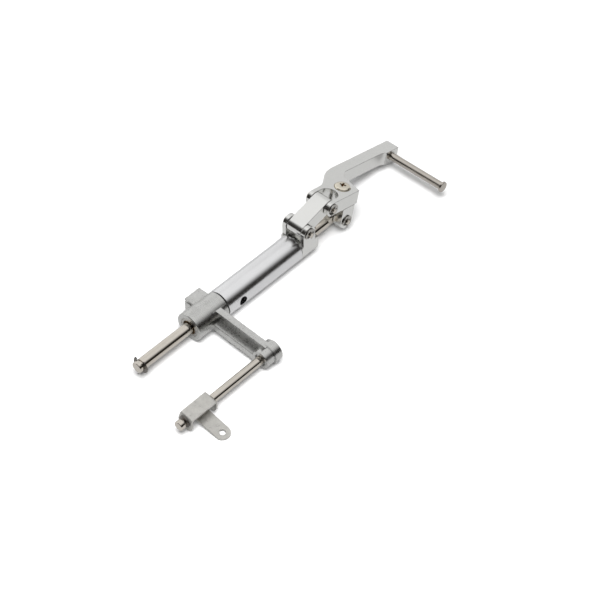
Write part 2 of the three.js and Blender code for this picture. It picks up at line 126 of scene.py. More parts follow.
def reach_along(tree, source, heading):
    """How far the source vector reaches along the heading: their dot product."""
    made = add_node(tree, "ShaderNodeVectorMath", operation="DOT_PRODUCT")
    tree.links.new(source, made.inputs[0])
    made.inputs[1].default_value = heading
    return made.outputs["Value"]


floor_mesh = bpy.data.meshes.new("floor")
floor_mesh.from_pydata(
    [(x, y, 0.0) for x, y in ((-FLOOR_HALF, -FLOOR_HALF), (FLOOR_HALF, -FLOOR_HALF),
                              (FLOOR_HALF, FLOOR_HALF), (-FLOOR_HALF, FLOOR_HALF))],
    [], [(0, 1, 2, 3)])
floor = bpy.data.objects.new("floor", floor_mesh)
bpy.context.collection.objects.link(floor)
floor_look = bpy.data.materials.new("floor_white")
floor_look.use_nodes = True
floor_tree = floor_look.node_tree
floor_place = add_node(floor_tree, "ShaderNodeTexCoord").outputs["Object"]
floor_seen = floor_tree.nodes["Principled BSDF"]
floor_seen.inputs["Base Color"].default_value = FLOOR_GREY
floor_seen.inputs["Roughness"].default_value = 0.9
floor_seen.inputs["Specular IOR Level"].default_value = 0.0
floor_seen.inputs["Emission Color"].default_value = FLOOR_GLOW_COLOUR
distance = add_node(floor_tree, "ShaderNodeVectorMath", operation="LENGTH")
floor_tree.links.new(floor_place, distance.inputs[0])
floor_tree.links.new(
    ramp(floor_tree, distance.outputs["Value"], GLOW_STARTS, GLOW_FULL),
    floor_seen.inputs["Emission Strength"])

floor_level = ramp(
    floor_tree, reach_along(floor_tree, floor_place, TO_BACKDROP), DARK_BEFORE, LIT_BEYOND, smooth=True)
floor_glow = add_node(floor_tree, "ShaderNodeEmission")
floor_tree.links.new(
    combine(floor_tree, "MULTIPLY", floor_level, GLOW_IN_METAL), floor_glow.inputs["Strength"])
floor_lit = add_node(floor_tree, "ShaderNodeBsdfDiffuse")
floor_tree.links.new(
    combine(floor_tree, "MULTIPLY", floor_level, LIT_IN_METAL), floor_lit.inputs["Color"])
floor_in_metal = add_node(floor_tree, "ShaderNodeAddShader")
floor_tree.links.new(floor_lit.outputs[0], floor_in_metal.inputs[0])
floor_tree.links.new(floor_glow.outputs[0], floor_in_metal.inputs[1])

floor_ray = add_node(floor_tree, "ShaderNodeLightPath")
floor_mix = add_node(floor_tree, "ShaderNodeMixShader")
floor_tree.links.new(floor_ray.outputs["Is Glossy Ray"], floor_mix.inputs["Fac"])
floor_tree.links.new(floor_seen.outputs[0], floor_mix.inputs[1])
floor_tree.links.new(floor_in_metal.outputs[0], floor_mix.inputs[2])
floor_tree.links.new(floor_mix.outputs[0], floor_tree.nodes["Material Output"].inputs["Surface"])
floor_mesh.materials.append(floor_look)

# ---- Light ----------------------------------------------------------------------------
# To the eye the room is white. The metal mirrors a lit ceiling and a lit backdrop behind the
# part, and dark walls elsewhere, which draw the dark line along every round bar. A soft lamp
# high behind the camera throws the shadows.

DIM_TURN = math.radians(-27)
TO_DIM_WALL = (math.cos(DIM_TURN), math.sin(DIM_TURN), 0)
TO_CEILING = (0.35, 0, 1)
CEILING_LEVEL = 0.85
BACKDROP_LEVEL = 0.90
DIM_LEVEL = 0.66
DARK_WALL = (0.022, 0.020, 0.018, 1)
WHITE = (1, 1, 1, 1)
FILL_SHARE = 0.22
LAMP_SIDE = 0.95
LAMP_POWER = 29
LAMP_PLACE = (-0.351, -0.324, 1.262)

world = bpy.data.worlds.new("studio")
bpy.context.scene.world = world
world.use_nodes = True
room = world.node_tree
direction = add_node(room, "ShaderNodeTexCoord").outputs["Generated"]
ceiling = ramp(
    room, reach_along(room, direction, TO_CEILING), 0.56, 1.04, to_high=CEILING_LEVEL, smooth=True)
wall_fall = ramp(room, reach_along(room, direction, TO_BACKDROP), 0.20, 0.40, smooth=True)
wall_level = ramp(
    room, reach_along(room, direction, TO_DIM_WALL), -0.15, 0.50, BACKDROP_LEVEL, DIM_LEVEL)
backdrop = combine(room, "MULTIPLY", wall_fall, wall_level)
room_ray = add_node(room, "ShaderNodeLightPath")
mirrored = combine(room, "MAXIMUM", ceiling, backdrop)
lit = combine(room, "MAXIMUM", mirrored, room_ray.outputs["Is Camera Ray"])
room_colour = add_node(room, "ShaderNodeMixRGB", {"Color1": DARK_WALL, "Color2": WHITE})
room.links.new(lit, room_colour.inputs["Fac"])
background = room.nodes["Background"]
room.links.new(room_colour.outputs[0], background.inputs["Color"])
room.links.new(
    ramp(room, room_ray.outputs["Is Diffuse Ray"], 0, 1, 1.0, FILL_SHARE),
    background.inputs["Strength"])

lamp_data = bpy.data.lights.new("overhead_lamp", "AREA")
lamp_data.shape = "RECTANGLE"
lamp_data.size = LAMP_SIDE
lamp_data.size_y = LAMP_SIDE
lamp_data.energy = LAMP_POWER
lamp = bpy.data.objects.new("overhead_lamp", lamp_data)
lamp.location = LAMP_PLACE
lamp.visible_glossy = False
lamp.rotation_euler = (-lamp.location).to_track_quat("-Z", "Y").to_euler()
bpy.context.collection.objects.link(lamp)

# ---- Tube -----------------------------------------------------------------------------
# Bright drawn aluminium tube with both ends faced square and lightly broken. A cross hole
# near its front end takes the screws that lock the casting's spigot.

TUBE_R = 10.0
TUBE_BORE_R = 8.0
HOLE_X = -11.5
HOLE_R = 3.3
THROUGH = 12
SAME_POINT = 1e-5
TINY_EDGE = 2e-4
TINY_FACE = 1e-4


def rounded(points, radius, steps=4, closed=False):
    """The polyline with each corner c replaced by (1 - t)^2 a + 2 t (1 - t) c + t^2 b, where a
    and b are the points one radius before and after the corner. t runs from 0 to 1."""
    corner = np.asarray(points, float)
    before = np.roll(corner, 1, 0)
    after = np.roll(corner, -1, 0)
    to_before = before - corner
    to_after = after - corner
    length_before = np.linalg.norm(to_before, axis=1, keepdims=True)
    length_after = np.linalg.norm(to_after, axis=1, keepdims=True)
    cut = np.broadcast_to(np.asarray(radius, float).reshape(-1, 1), (len(corner), 1))
    start = corner + to_before / length_before * np.minimum(cut, length_before * 0.49)
    end = corner + to_after / length_after * np.minimum(cut, length_after * 0.49)
    t = np.linspace(0, 1, steps + 1)[None, :, None]
    curve = (1 - t) ** 2 * start[:, None] + 2 * t * (1 - t) * corner[:, None] + t ** 2 * end[:, None]
    if closed:
        return curve.reshape(-1, 2)
    inner = curve[1:-1].reshape(-1, 2)
    return np.vstack([corner[:1], inner, corner[-1:]])


def smooth_faces(mesh):
    """Every face of the mesh shaded smooth."""
    mesh.polygons.foreach_set("use_smooth", np.ones(len(mesh.polygons), bool))


def new_object(name, points, faces):
    """A smooth-shaded object of these points and faces, its faces turned outwards."""
    mesh = bpy.data.meshes.new(name)
    mesh.from_pydata(np.asarray(points).tolist(), [], faces)
    work = bmesh.new()
    work.from_mesh(mesh)
    bmesh.ops.remove_doubles(work, verts=work.verts, dist=SAME_POINT)
    bmesh.ops.recalc_face_normals(work, faces=work.faces)
    work.to_mesh(mesh)
    work.free()
    smooth_faces(mesh)
    made = bpy.data.objects.new(name, mesh)
    bpy.context.collection.objects.link(made)
    return made


def turned(name, profile, centre=(0, 0, 0), axis="x", steps=96):
    """A lathe surface: point = centre + s along the axis + r at angle a round it, for each
    profile pair (s, r). The profile closes on itself, or on the axis where r is 0."""
    s, r = np.asarray(profile, float).T
    angle = np.linspace(0, 2 * np.pi, steps, endpoint=False)
    across = r[:, None] * np.cos(angle)
    upward = r[:, None] * np.sin(angle)
    along = np.broadcast_to(s[:, None], across.shape)
    order = {
        "x": (along, across, upward), "y": (across, along, upward), "z": (across, upward, along)}[axis]
    points = np.stack(order, -1).reshape(-1, 3) + np.asarray(centre, float)
    rows = len(s)
    i = np.arange(rows)
    j = np.arange(steps)
    near = (i[:, None] * steps + j).ravel()
    far = (((i + 1) % rows)[:, None] * steps + j).ravel()
    near_next = (i[:, None] * steps + (j + 1) % steps).ravel()
    far_next = (((i + 1) % rows)[:, None] * steps + (j + 1) % steps).ravel()
    return new_object(name, points, np.stack([near, near_next, far_next, far], 1).tolist())


def prism(name, outline, low, high, axis="y"):
    """The closed outline carried straight from low to high. The outline is in the plane
    across the axis: (x, z) for y, (y, z) for x and (x, y) for z."""
    a, b = np.asarray(outline, float).T
    count = len(a)
    ends = []
    for place in (low, high):
        along = np.full(count, float(place))
        order = {"x": (along, a, b), "y": (a, along, b), "z": (a, b, along)}[axis]
        ends.append(np.stack(order, -1))
    j = np.arange(count)
    sides = np.stack([j, (j + 1) % count, (j + 1) % count + count, j + count], 1).tolist()
    caps = [j[::-1].tolist(), (j + count).tolist()]
    return new_object(name, np.vstack(ends), sides + caps)


def circle(centre, radius, start=0.0, end=360.0, steps=64):
    """Points centre + radius (cos a, sin a), with a from start to end in degrees."""
    whole = abs(end - start) >= 360
    angle = np.radians(np.linspace(start, end, steps, endpoint=not whole))
    return np.stack([centre[0] + radius * np.cos(angle), centre[1] + radius * np.sin(angle)], 1)


def settle(piece):
    """Makes the result of the piece's modifiers its own mesh."""
    graph = bpy.context.evaluated_depsgraph_get()
    shape = bpy.data.meshes.new_from_object(piece.evaluated_get(graph))
    piece.modifiers.clear()
    piece.data = shape
    return piece


def combined(piece, operation, *others):
    """The piece joined to, cut by or limited to the other solids, which are used up."""
    for other in others:
        change = piece.modifiers.new("change", "BOOLEAN")
        change.operation = operation
        change.solver = "EXACT"
        change.object = other
        settle(piece)
        bpy.data.objects.remove(other)
    return piece


def broken_edges(piece, width, angle=32, steps=3):
    """Gives every edge sharper than the angle a small round of that width."""
    work = bmesh.new()
    work.from_mesh(piece.data)
    bmesh.ops.remove_doubles(work, verts=work.verts, dist=TINY_EDGE)
    bmesh.ops.dissolve_degenerate(work, edges=work.edges, dist=TINY_FACE)
    work.to_mesh(piece.data)
    work.free()
    smooth_faces(piece.data)
    edge = piece.modifiers.new("edges", "BEVEL")
    edge.width = width
    edge.segments = steps
    edge.limit_method = "ANGLE"
    edge.angle_limit = math.radians(angle)
    edge.use_clamp_overlap = False
    edge.harden_normals = True
    return settle(piece)


def placed(piece, tip=0.0, pivot=(0, 0, 0), about="Y"):
    """Tips the piece about a pivot and puts it where it belongs in the row frame, in metres."""
    turn = Matrix.Translation(pivot) @ Matrix.Rotation(tip, 4, about)
    piece.data.transform(Matrix.Translation(hub) @ Matrix.Scale(0.001, 4) @ turn)
    piece.data.update()
    return piece


def metal(name, colour, rough, grain, mottle=0.08, marks=0.05, rough_change=0.08, lift=0.02,
          spot=70.0, metallic=1.0):
    """Bare or plated metal. A noise stretched along the tool marks moves colour, roughness
    and height by small amounts, and a wide soft noise mottles the colour. grain and spot are
    the scales of the two noises per metre, and lift is the height in millimetres."""
    look = bpy.data.materials.new(name)
    look.use_nodes = True
    tree = look.node_tree
    shader = tree.nodes["Principled BSDF"]
    shader.inputs["Metallic"].default_value = metallic
    place = add_node(tree, "ShaderNodeTexCoord").outputs["Object"]
    stretch = add_node(tree, "ShaderNodeMapping", {"Scale": grain})
    tree.links.new(place, stretch.inputs["Vector"])
    fine = add_node(tree, "ShaderNodeTexNoise", {"Scale": 1.0, "Detail": 5.0, "Roughness": 0.65})
    tree.links.new(stretch.outputs[0], fine.inputs["Vector"])
    wide = add_node(tree, "ShaderNodeTexNoise", {"Scale": spot, "Detail": 4.0, "Roughness": 0.6})
    tree.links.new(place, wide.inputs["Vector"])
    shade = combine(
        tree, "MULTIPLY",
        ramp(tree, fine.outputs["Fac"], 0.25, 0.75, 1 - marks, 1 + marks),
        ramp(tree, wide.outputs["Fac"], 0.25, 0.75, 1 - mottle, 1 + mottle))
    tint = add_node(tree, "ShaderNodeVectorMath", operation="SCALE")
    tint.inputs[0].default_value = colour
    tree.links.new(shade, tint.inputs["Scale"])
    tree.links.new(tint.outputs[0], shader.inputs["Base Color"])
    uneven = combine(
        tree, "ADD",
        ramp(tree, fine.outputs["Fac"], 0.25, 0.75, rough - rough_change / 2, rough + rough_change / 2),
        ramp(tree, wide.outputs["Fac"], 0.3, 0.7, -rough_change / 2, rough_change / 2))
    tree.links.new(uneven, shader.inputs["Roughness"])
    bump = add_node(tree, "ShaderNodeBump", {"Strength": 1.0, "Distance": lift / 1000})
    tree.links.new(fine.outputs["Fac"], bump.inputs["Height"])
    tree.links.new(bump.outputs[0], shader.inputs["Normal"])
    return look


bright_aluminium = metal(
    "bright_aluminium", (0.88, 0.88, 0.89), 0.23, (160, 3800, 3800), mottle=0.03, marks=0.03,
    rough_change=0.05, lift=0.0012)

tube_profile = rounded(
    [(TUBE_START, TUBE_BORE_R), (TUBE_START, TUBE_R), (TUBE_END, TUBE_R), (TUBE_END, TUBE_BORE_R)],
    0.5, closed=True)
tube = turned("tube_shell", tube_profile, steps=160)
combined(tube, "DIFFERENCE", prism("drill", circle((HOLE_X, 0), HOLE_R), -THROUGH, THROUGH))
broken_edges(tube, 0.22)
placed(tube)
tube.data.materials.append(bright_aluminium)
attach(tube, "body")
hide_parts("tube")

# ---- Casting --------------------------------------------------------------------------
# Die-cast end piece: a spigot in the tube, a bored barrel, a square lug with a saw cut, and
# a crank that ends in a small boss. Its skin is grainy from the mould.

BARREL_FRONT = -52.5
BARREL_R = 10.5
SHOULDER_X = -25.0
CRANK_FRONT = -40.0
CRANK_STEP = -35.0
CRANK_BACK = -30.0
SHAFT_Y = -52.0
SHAFT_Z = -2.0
SHAFT_END = -27.0
SPIGOT_R = 7.75
BOSS_R = 7.6
BOSS_NECK_R = 6.6
SHAFT_HOLE_R = 3.1
SHAFT_MOUTH_R = 4.5
ROD_CLEAR_R = 4.6
BUSH_SEAT_R = 6.7
RETAINER_SEAT_R = 7.2
SQUARE_LUG = ((CRANK_FRONT - 0.6, 2, -6.5), (SHOULDER_X - 1.8, 15.9, 6.7))
SAW_CUT = ((CRANK_FRONT - 2, 9.6, 3.9), (CRANK_FRONT + 5, 17, 5.8))
CAST_EDGE = 0.35


def evened(piece, angle=35):
    """Shades the piece smooth, but keeps its flat faces flat and every edge sharper than the
    angle crisp."""
    smooth_faces(piece.data)
    piece.data.set_sharp_from_angle(angle=math.radians(angle))
    weights = piece.modifiers.new("weights", "WEIGHTED_NORMAL")
    weights.keep_sharp = True
    weights.weight = 100
    return settle(piece)


def box(name, low, high):
    """A plain block between two corners."""
    outline = [(low[0], low[2]), (high[0], low[2]), (high[0], high[2]), (low[0], high[2])]
    return prism(name, outline, low[1], high[1])


def sloped_bar(name, outline, low, high):
    """A bar of that outline from low to high along X, its edges already broken."""
    return broken_edges(prism(name, outline, low, high, "x"), CAST_EDGE)


casting = turned("casting", [
    (BARREL_FRONT, 0), (BARREL_FRONT, BARREL_R - 0.5), (BARREL_FRONT + 0.15, BARREL_R - 0.15),
    (BARREL_FRONT + 0.5, BARREL_R), (CRANK_FRONT + 2, BARREL_R), (CRANK_FRONT + 2.6, TUBE_R),
    (SHOULDER_X - 0.2, TUBE_R), (SHOULDER_X, TUBE_R - 0.2), (SHOULDER_X, SPIGOT_R),
    (-3, SPIGOT_R), (-3, 0)], steps=128)
web = [(-6, 6.9), (SHAFT_Y, 5.1), (SHAFT_Y, -7.6), (-6, -4.6)]
ledge = [(-7, 0.2), (SHAFT_Y + 3, -1.6), (SHAFT_Y + 3, -7.4), (-7, -4.6)]
small_boss = turned("small_boss", [
    (CRANK_FRONT, 0), (CRANK_FRONT, 6.3), (CRANK_FRONT + 0.3, BOSS_NECK_R),
    (CRANK_STEP + 1.6, BOSS_NECK_R), (CRANK_STEP + 2.1, BOSS_R), (SHAFT_END, BOSS_R),
    (SHAFT_END + 0.5, 7.1), (SHAFT_END + 0.5, 0)], (0, SHAFT_Y, SHAFT_Z))
combined(
    casting, "UNION",
    sloped_bar("web", web, CRANK_STEP, CRANK_BACK),
    sloped_bar("ledge", ledge, CRANK_FRONT, CRANK_STEP + 1),
    small_boss,
    broken_edges(box("square_lug", *SQUARE_LUG), 0.45))
machining = combined(
    turned("rod_bore", [(-60, 0), (-60, ROD_CLEAR_R), (0, ROD_CLEAR_R), (0, 0)]), "UNION",
    turned("bush_bore", [
        (BARREL_FRONT - 1, 0), (BARREL_FRONT - 1, RETAINER_SEAT_R),
        (BARREL_FRONT + 0.9, RETAINER_SEAT_R), (BARREL_FRONT + 0.9, BUSH_SEAT_R),
        (BARREL_FRONT + 9.5, BUSH_SEAT_R), (BARREL_FRONT + 9.5, 0)]),
    prism("screw_holes", circle((HOLE_X, 0), HOLE_R - 0.2), -THROUGH, THROUGH),
    turned("shaft_bore", [
        (CRANK_FRONT - 1, 0), (CRANK_FRONT - 1, SHAFT_MOUTH_R), (CRANK_FRONT + 0.9, SHAFT_MOUTH_R),
        (CRANK_FRONT + 0.9, SHAFT_HOLE_R), (SHAFT_END + 2, SHAFT_HOLE_R), (SHAFT_END + 2, 0)],
        (0, SHAFT_Y, SHAFT_Z)),
    box("saw_cut", *SAW_CUT))
combined(casting, "DIFFERENCE", machining)
evened(casting)
placed(casting)

cast_metal = metal(
    "cast_metal", (0.64, 0.64, 0.625), 0.29, (800, 800, 800), mottle=0.12, marks=0.10,
    rough_change=0.12, lift=0.024, spot=160.0)
casting.data.materials.append(cast_metal)
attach(casting, "body")
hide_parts("crank_casting")

# ---- Seal ring, bush and retainer in the barrel -----------------------------------------
# A black ring closes the joint between casting and tube. A bronze bush guides the rod in
# the barrel, and a thin bright ring holds it in. A second bush sits in the clevis end.

SEAL_IN = 8
SEAL_OUT = 9.3
RETAINER_IN = 5.3
RETAINER_OUT = 7.0
RUBBER_LIFT = 0.00003


def rubber(name, colour, rough, scale):
    """Rubber: one noise moves its colour, roughness and height a little."""
    look = bpy.data.materials.new(name)
    look.use_nodes = True
    tree = look.node_tree
    shader = tree.nodes["Principled BSDF"]
    place = add_node(tree, "ShaderNodeTexCoord").outputs["Object"]
    fine = add_node(tree, "ShaderNodeTexNoise", {"Scale": scale, "Detail": 4.0})
    tree.links.new(place, fine.inputs["Vector"])
    tint = add_node(tree, "ShaderNodeVectorMath", operation="SCALE")
    tint.inputs[0].default_value = colour
    tree.links.new(ramp(tree, fine.outputs["Fac"], 0.3, 0.7, 0.7, 1.4), tint.inputs["Scale"])
    tree.links.new(tint.outputs[0], shader.inputs["Base Color"])
    tree.links.new(
        ramp(tree, fine.outputs["Fac"], 0.3, 0.7, rough - 0.1, rough + 0.1), shader.inputs["Roughness"])
    bump = add_node(tree, "ShaderNodeBump", {"Strength": 1.0, "Distance": RUBBER_LIFT})
    tree.links.new(fine.outputs["Fac"], bump.inputs["Height"])
    tree.links.new(bump.outputs[0], shader.inputs["Normal"])
    return look


def refinished(node_names, look):
    """Gives plain solids that sit inside the others a new material, and nothing else."""
    for node_name in node_names:
        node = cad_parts[node_name]
        node.data.materials.clear()
        node.data.materials.append(look)


black_rubber = rubber("black_rubber", (0.008, 0.008, 0.008), 0.7, 900)
seal = turned("seal_band", rounded([
    (SHOULDER_X + 0.08, SEAL_IN), (SHOULDER_X + 0.08, SEAL_OUT), (TUBE_START - 0.08, SEAL_OUT),
    (TUBE_START - 0.08, SEAL_IN)], 0.15, closed=True))
placed(seal)
seal.data.materials.append(black_rubber)
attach(seal, "body")
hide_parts("seal_ring")

clip_steel = metal(
    "clip_steel", (0.50, 0.485, 0.46), 0.20, (700, 700, 2600), mottle=0.14, marks=0.12,
    lift=0.004, spot=500.0)
retainer = turned("retainer_washer", rounded([
    (BARREL_FRONT + 0.15, RETAINER_IN), (BARREL_FRONT + 0.15, RETAINER_OUT),
    (BARREL_FRONT + 0.85, RETAINER_OUT), (BARREL_FRONT + 0.85, RETAINER_IN)], 0.2, closed=True))
placed(retainer)
retainer.data.materials.append(clip_steel)
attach(retainer, "body")
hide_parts("bush_retainer")

sintered_bronze = metal(
    "sintered_bronze", (0.55, 0.38, 0.20), 0.45, (1500, 1500, 1500), marks=0.2, lift=0.02)
refinished(("front_bush", "clevis_bush"), sintered_bronze)

# ---- Grub screws ------------------------------------------------------------------------
# Two short black screws in the cross hole lock the spigot to the tube. They sit deep, so
# their plain shapes stay and only their finish is new.

black_oxide = metal("black_oxide", (0.03, 0.03, 0.032), 0.5, (1500, 1500, 1500), marks=0.3, lift=0.01)
refinished(("grub_screw_front", "grub_screw_back"), black_oxide)

# ---- Clevis end -------------------------------------------------------------------------
# Milled aluminium fork on a plug in the tube's end: round below, square above, with two
# round-topped ears. The rod passes through its foot. A shallow seat round the pin's hole
# takes the clip.

CLEVIS_PIVOT = (52.8, 15.0)
CLEVIS_END = 62.0
CLEVIS_FLOOR = 6.5
EAR_R = 5.7
HALF = 10.0
FORK_HALF = 6.6
PIN_R = 2.5
PIN_GAP = 0.1
SEAT_R = 3.5
SEAT_DEPTH = 1.5
PLUG_START = 30
BUSH_END = 42
MILLED_EDGE = 0.3
CLEVIS_BUSH_R = 6.1
CLEVIS_BORE_R = 4.3


def pin_cutters(pivot):
    """The cross pin's hole at the pivot (x, z), and the seat of its clip at the front."""
    return (
        prism("pin_bore", circle(pivot, PIN_R + PIN_GAP), -THROUGH, THROUGH),
        prism("clip_seat", circle(pivot, SEAT_R), -HALF - 2, -HALF + SEAT_DEPTH))


satin_aluminium = metal(
    "satin_aluminium", (0.85, 0.85, 0.83), 0.17, (420, 2600, 2600), mottle=0.02, marks=0.02,
    rough_change=0.05, lift=0.0009, spot=90.0)

foot_outline = np.vstack([
    [(HALF, CLEVIS_FLOOR), (-HALF, CLEVIS_FLOOR)], circle((0, 0), HALF, 180, 360, 72)])
clevis = prism("clevis", foot_outline, TUBE_END + 0.1, CLEVIS_END, "x")
ear_outline = np.vstack([
    circle(CLEVIS_PIVOT, EAR_R, 0, 180, 49),
    [(CLEVIS_PIVOT[0] - EAR_R, 1.0), (CLEVIS_PIVOT[0] + EAR_R, 1.0)]])
for side in (-1, 1):
    low, high = sorted((side * FORK_HALF, side * HALF))
    combined(clevis, "UNION", prism("ear", ear_outline, low, high))
combined(
    clevis, "UNION",
    turned("plug", [
        (PLUG_START, 0), (PLUG_START, SPIGOT_R), (TUBE_END + 2, SPIGOT_R), (TUBE_END + 2, 0)]))
combined(
    clevis, "DIFFERENCE",
    turned("foot_bore", [
        (PLUG_START - 1, 0), (PLUG_START - 1, CLEVIS_BUSH_R), (BUSH_END, CLEVIS_BUSH_R),
        (BUSH_END, CLEVIS_BORE_R), (CLEVIS_END + 8, CLEVIS_BORE_R), (CLEVIS_END + 8, 0)]),
    *pin_cutters(CLEVIS_PIVOT))
broken_edges(clevis, MILLED_EDGE)
placed(clevis)
clevis.data.materials.append(satin_aluminium)
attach(clevis, "body")
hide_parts("clevis_end")

# ---- Push rod ---------------------------------------------------------------------------
# Warm nickel-plated steel rod, turned, with a clip groove at its free end and a flat tongue
# with a round eye at the other.

ROD_START = -99.3
ROD_R = 4.0
LUG_PIVOT = (90.6, 0.0)
EYE_R = 4.9
EYE_GAP = 0.6
TONGUE_HALF = 2.5

warm_nickel = metal(
    "warm_nickel", (0.70, 0.655, 0.59), 0.10, (220, 3600, 3600), mottle=0.05, marks=0.04,
    rough_change=0.05, lift=0.0008, spot=140.0)
groove = ROD_START + 3.2
shank_end = LUG_PIVOT[0] - 10.6
rod = turned("rod", np.vstack([
    [(ROD_START, 0)],
    rounded([
        (ROD_START, 1), (ROD_START, ROD_R), (groove, ROD_R), (groove, ROD_R - 0.9),
        (groove + 1, ROD_R - 0.9), (groove + 1, ROD_R), (shank_end, ROD_R), (shank_end, 1)],
        (0, 0.6, 0.15, 0.1, 0.1, 0.15, 0.5, 0)),
    [(shank_end, 0)]]))
tongue_outline = np.vstack([
    circle(LUG_PIVOT, EYE_R, -142, 142, 60),
    [(shank_end - 1, 3), (shank_end - 1, -3)]])
combined(rod, "UNION", prism("tongue", tongue_outline, -TONGUE_HALF, TONGUE_HALF))
combined(rod, "DIFFERENCE", prism("eye", circle(LUG_PIVOT, PIN_R + EYE_GAP), -5, 5))
broken_edges(rod, 0.2)
placed(rod)
rod.data.materials.append(warm_nickel)
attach(rod, "rod")
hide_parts("push_rod")

# ---- Cross pins -------------------------------------------------------------------------
# Turned pins with a low round head at the back. At the front a groove takes an E-clip, and
# the tip beyond it is slimmer than the pin.

HEAD_PIVOT = (76.0, 21.2)
ARM_PITCH = math.radians(13.5)
PIN_BACK = 11.3
PIN_COLLAR = 10.1
PIN_HEAD_R = 3.7
GROOVE_BACK = -8.2
GROOVE_FRONT = -11.1
GROOVE_FLOOR_R = 1.4
PIN_TIP = -12.2
PIN_TIP_R = 1.7


def cross_pin(name):
    """A headed pin along Y about its own origin. Its groove starts inside the clip's seat."""
    return turned(name, np.vstack([
        [(PIN_BACK, 0)],
        rounded([
            (PIN_BACK, 1), (PIN_BACK, PIN_HEAD_R), (PIN_COLLAR, PIN_HEAD_R), (PIN_COLLAR, PIN_R),
            (GROOVE_BACK, PIN_R), (GROOVE_BACK, GROOVE_FLOOR_R), (GROOVE_FRONT, GROOVE_FLOOR_R),
            (GROOVE_FRONT, PIN_TIP_R), (PIN_TIP, PIN_TIP_R), (PIN_TIP, 1)],
            (0, 0.45, 0.2, 0.1, 0.1, 0.1, 0.1, 0.12, 0.45, 0)),
        [(PIN_TIP - 0.1, 0)]]), axis="y", steps=64)


for pin_name, pin_node, pin_body, (pin_x, pin_z) in (
        ("clevis_cross_pin", "clevis_pin", "body", CLEVIS_PIVOT),
        ("head_cross_pin", "head_pin", "head", HEAD_PIVOT),
        ("lug_cross_pin", "lug_pin", "head", LUG_PIVOT)):
    pin = cross_pin(pin_name)
    placed(pin, pivot=(pin_x, 0, pin_z))
    pin.data.materials.append(warm_nickel)
    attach(pin, pin_body)
    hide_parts(pin_node)

# ---- E-clips ----------------------------------------------------------------------------
# Flat spring clips snapped into the grooves: a round body with a mouth, and notches that
# leave three teeth on the groove's floor. The clips on the cross pins are bright. Those on
# the rod and on the small shaft are dark and have smaller notches.

CLIP_THICK = 0.7
CLIP_MOUTH = math.radians(38)
PIN_CLIP_R = 4.5
ROD_CLIP_R = 6.2
SHAFT_CLIP_R = 4.3
LEVER_FRONT = -107.2


def e_clip(name, outer, inner, notch_share):
    """A clip lying in the x-z plane, mouth down. At angle a its inner edge is at the radius
    inner + (outer - inner) * notch_share * n, where n is 0.9 - 1.9 cos 4(a - 90 degrees)
    held between 0 and 1: 0 on three teeth and 1 in the notches between them."""
    angle = np.linspace(-math.pi / 2 + CLIP_MOUTH, 1.5 * math.pi - CLIP_MOUTH, 97)
    outer_edge = np.stack([outer * np.cos(angle[::-1]), outer * np.sin(angle[::-1])], 1)
    notch = np.clip(0.9 - 1.9 * np.cos(4 * (angle - math.pi / 2)), 0, 1)
    radius = inner + notch * (outer - inner) * notch_share
    inner_edge = np.stack([radius * np.cos(angle), radius * np.sin(angle)], 1)
    clip = prism(name, np.vstack([inner_edge, outer_edge]), -CLIP_THICK / 2, CLIP_THICK / 2)
    return broken_edges(clip, 0.1, steps=2)


for clip_name, clip_node, clip_body, (clip_x, clip_z), clip_turn in (
        ("clevis_e_clip", "clevis_pin_clip", "body", CLEVIS_PIVOT, 0.5),
        ("head_e_clip", "head_pin_clip", "head", HEAD_PIVOT, 1.1),
        ("lug_e_clip", "lug_pin_clip", "head", LUG_PIVOT, 0.8)):
    clip = e_clip(clip_name, PIN_CLIP_R, PIN_R - 1.05, notch_share=0.56)
    placed(clip, tip=clip_turn, pivot=(clip_x, -HALF - 0.6, clip_z))
    clip.data.materials.append(clip_steel)
    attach(clip, clip_body)
    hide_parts(clip_node)

dark_spring_steel = metal(
    "dark_spring_steel", (0.20, 0.185, 0.17), 0.30, (700, 2600, 700), mottle=0.2, marks=0.2,
    lift=0.004, spot=500.0)
for clip_name, clip_node, clip_body, clip_x, clip_y, clip_z, clip_turn, outer, inner in (
        ("rod_e_clip", "rod_clip", "rod", groove + 0.5, 0, 0, 3.0, ROD_CLIP_R, ROD_R - 0.8),
        ("shaft_e_clip", "shaft_clip", "body", LEVER_FRONT - 0.7, SHAFT_Y, SHAFT_Z, 0.4,
         SHAFT_CLIP_R, 2.0)):
    clip = e_clip(clip_name, outer, inner, notch_share=0.3)
    clip.data.transform(Matrix.Rotation(math.pi / 2, 4, "Z"))
    placed(clip, tip=clip_turn, pivot=(clip_x, clip_y, clip_z), about="X")
    clip.data.materials.append(dark_spring_steel)
    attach(clip, clip_body)
    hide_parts(clip_node)

# ---- Link -------------------------------------------------------------------------------
# A short milled bar with round ends, between the clevis ears and the head's prongs. It is
# made level, with its near hole at the origin, and then tipped up to the head.

PLATE_HALF = 5.3
LINK_HALF = 6.2
LINK_HOLE_R = 2.75
link_run = HEAD_PIVOT[0] - CLEVIS_PIVOT[0]
link_rise = HEAD_PIVOT[1] - CLEVIS_PIVOT[1]
link_length = math.hypot(link_run, link_rise)
link_side = np.vstack([
    circle((0, 0), PLATE_HALF, 90, 270, 49), circle((link_length, 0), PLATE_HALF, -90, 90, 49)])
link = prism("link", link_side, -LINK_HALF, LINK_HALF)
combined(
    link, "DIFFERENCE",
    prism("near_hole", circle((0, 0), LINK_HOLE_R), -8, 8),
    prism("far_hole", circle((link_length, 0), LINK_HOLE_R), -8, 8))
broken_edges(link, 0.35)
placed(link, tip=-math.atan2(link_rise, link_run), pivot=(CLEVIS_PIVOT[0], 0, CLEVIS_PIVOT[1]))
link.data.materials.append(satin_aluminium)
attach(link, "link")
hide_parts("link_bar")

